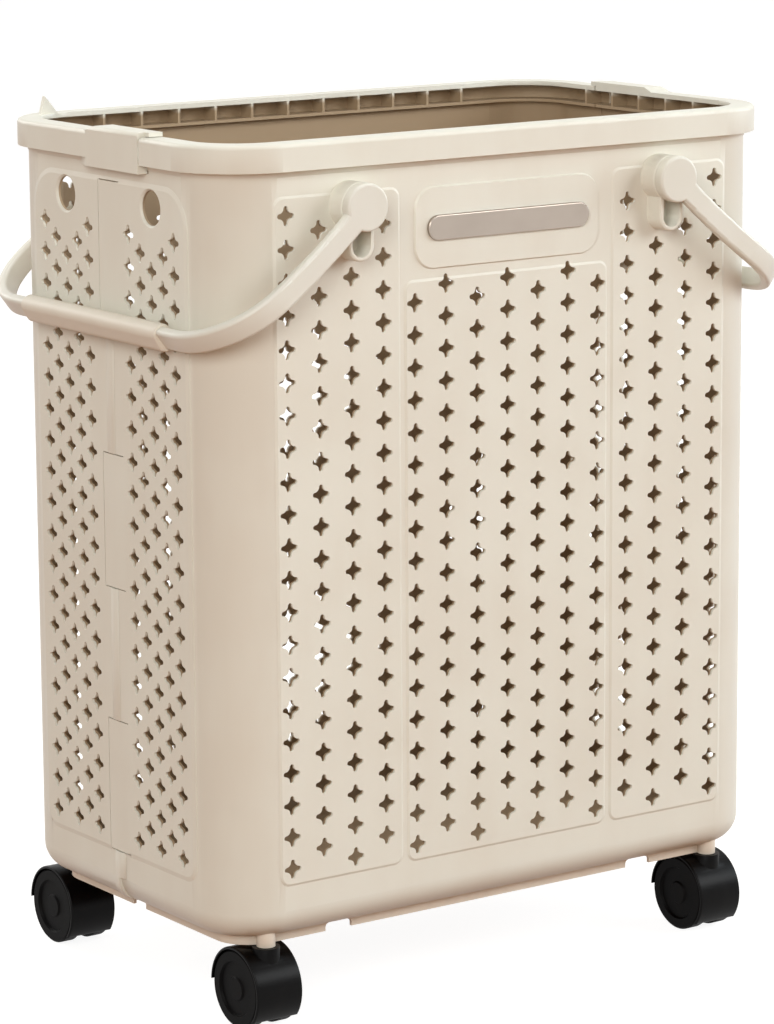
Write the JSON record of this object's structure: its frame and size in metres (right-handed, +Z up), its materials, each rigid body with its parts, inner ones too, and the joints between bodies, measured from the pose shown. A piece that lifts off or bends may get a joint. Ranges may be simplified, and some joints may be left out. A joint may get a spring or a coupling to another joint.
{
  "type": "linen trolley",
  "caption": "Tall perforated plastic laundry basket of two clipped half shells on twin-wheel swivel casters, with swinging bail handles at both ends.",
  "frame": {"origin": "centre of the footprint, on the floor under the casters", "axes": "+Z up, the front wall with the badge faces -Y, +X to the right seen from the front, end walls face -X and +X"},
  "size_m": [0.4674, 0.3016, 0.571],
  "materials": {
    "shell": "satin moulded polypropylene, warm cream",
    "tray": "satin moulded polypropylene, cream",
    "handle": "satin moulded polypropylene, warm cream",
    "grip": "satin, fine grained, warm cream",
    "badge": "satin champagne metallised plastic",
    "caster": "satin black nylon",
    "wheel": "black nylon",
    "steel": "plain turned steel"
  },
  "bodies": {
    "root": {"front_shell": "shell", "rear_shell": "shell", "badge": "badge", "base_tray": "tray", "front_left_socket": "tray", "front_left_stem": "steel", "front_right_socket": "tray", "front_right_stem": "steel", "rear_left_socket": "tray", "rear_left_stem": "steel", "rear_right_socket": "tray", "rear_right_stem": "steel"},
    "left_handle": {"left_handle_bail": "handle", "left_handle_grip": "grip", "left_front_pivot_cap": "tray", "left_rear_pivot_cap": "tray"},
    "right_handle": {"right_handle_bail": "handle", "right_handle_grip": "grip", "right_front_pivot_cap": "tray", "right_rear_pivot_cap": "tray"},
    "front_left_caster": {"front_left_hood": "caster", "front_left_axle": "steel"},
    "front_left_wheel_left": {"front_left_wheel_left": "wheel"},
    "front_left_wheel_right": {"front_left_wheel_right": "wheel"},
    "front_right_caster": {"front_right_hood": "caster", "front_right_axle": "steel"},
    "front_right_wheel_left": {"front_right_wheel_left": "wheel"},
    "front_right_wheel_right": {"front_right_wheel_right": "wheel"},
    "rear_left_caster": {"rear_left_hood": "caster", "rear_left_axle": "steel"},
    "rear_left_wheel_left": {"rear_left_wheel_left": "wheel"},
    "rear_left_wheel_right": {"rear_left_wheel_right": "wheel"},
    "rear_right_caster": {"rear_right_hood": "caster", "rear_right_axle": "steel"},
    "rear_right_wheel_left": {"rear_right_wheel_left": "wheel"},
    "rear_right_wheel_right": {"rear_right_wheel_right": "wheel"}
  },
  "joints": [
    {"name": "left_handle_swing", "type": "hinge", "parent": "root", "child": "left_handle", "pos_m": [-0.1215, 0, 0.5187], "axis": [0, 1, 0], "range_deg": [0, 180]},
    {"name": "right_handle_swing", "type": "hinge", "parent": "root", "child": "right_handle", "pos_m": [0.1215, 0, 0.5187], "axis": [0, -1, 0], "range_deg": [0, 180]},
    {"name": "front_left_swivel", "type": "hinge", "parent": "root", "child": "front_left_caster", "pos_m": [-0.179, -0.113, 0.0536], "axis": [0, 0, 1], "continuous": true},
    {"name": "front_left_wheel_left_roll", "type": "hinge", "parent": "front_left_caster", "child": "front_left_wheel_left", "pos_m": [-0.179, -0.1016, 0.025], "axis": [1, 0, 0], "continuous": true},
    {"name": "front_left_wheel_right_roll", "type": "hinge", "parent": "front_left_caster", "child": "front_left_wheel_right", "pos_m": [-0.179, -0.1016, 0.025], "axis": [1, 0, 0], "continuous": true},
    {"name": "front_right_swivel", "type": "hinge", "parent": "root", "child": "front_right_caster", "pos_m": [0.179, -0.113, 0.0536], "axis": [0, 0, 1], "continuous": true},
    {"name": "front_right_wheel_left_roll", "type": "hinge", "parent": "front_right_caster", "child": "front_right_wheel_left", "pos_m": [0.179, -0.1016, 0.025], "axis": [1, 0, 0], "continuous": true},
    {"name": "front_right_wheel_right_roll", "type": "hinge", "parent": "front_right_caster", "child": "front_right_wheel_right", "pos_m": [0.179, -0.1016, 0.025], "axis": [1, 0, 0], "continuous": true},
    {"name": "rear_left_swivel", "type": "hinge", "parent": "root", "child": "rear_left_caster", "pos_m": [-0.179, 0.113, 0.0536], "axis": [0, 0, 1], "continuous": true},
    {"name": "rear_left_wheel_left_roll", "type": "hinge", "parent": "rear_left_caster", "child": "rear_left_wheel_left", "pos_m": [-0.179, 0.1244, 0.025], "axis": [1, 0, 0], "continuous": true},
    {"name": "rear_left_wheel_right_roll", "type": "hinge", "parent": "rear_left_caster", "child": "rear_left_wheel_right", "pos_m": [-0.179, 0.1244, 0.025], "axis": [1, 0, 0], "continuous": true},
    {"name": "rear_right_swivel", "type": "hinge", "parent": "root", "child": "rear_right_caster", "pos_m": [0.179, 0.113, 0.0536], "axis": [0, 0, 1], "continuous": true},
    {"name": "rear_right_wheel_left_roll", "type": "hinge", "parent": "rear_right_caster", "child": "rear_right_wheel_left", "pos_m": [0.179, 0.1244, 0.025], "axis": [1, 0, 0], "continuous": true},
    {"name": "rear_right_wheel_right_roll", "type": "hinge", "parent": "rear_right_caster", "child": "rear_right_wheel_right", "pos_m": [0.179, 0.1244, 0.025], "axis": [1, 0, 0], "continuous": true}
  ]
}
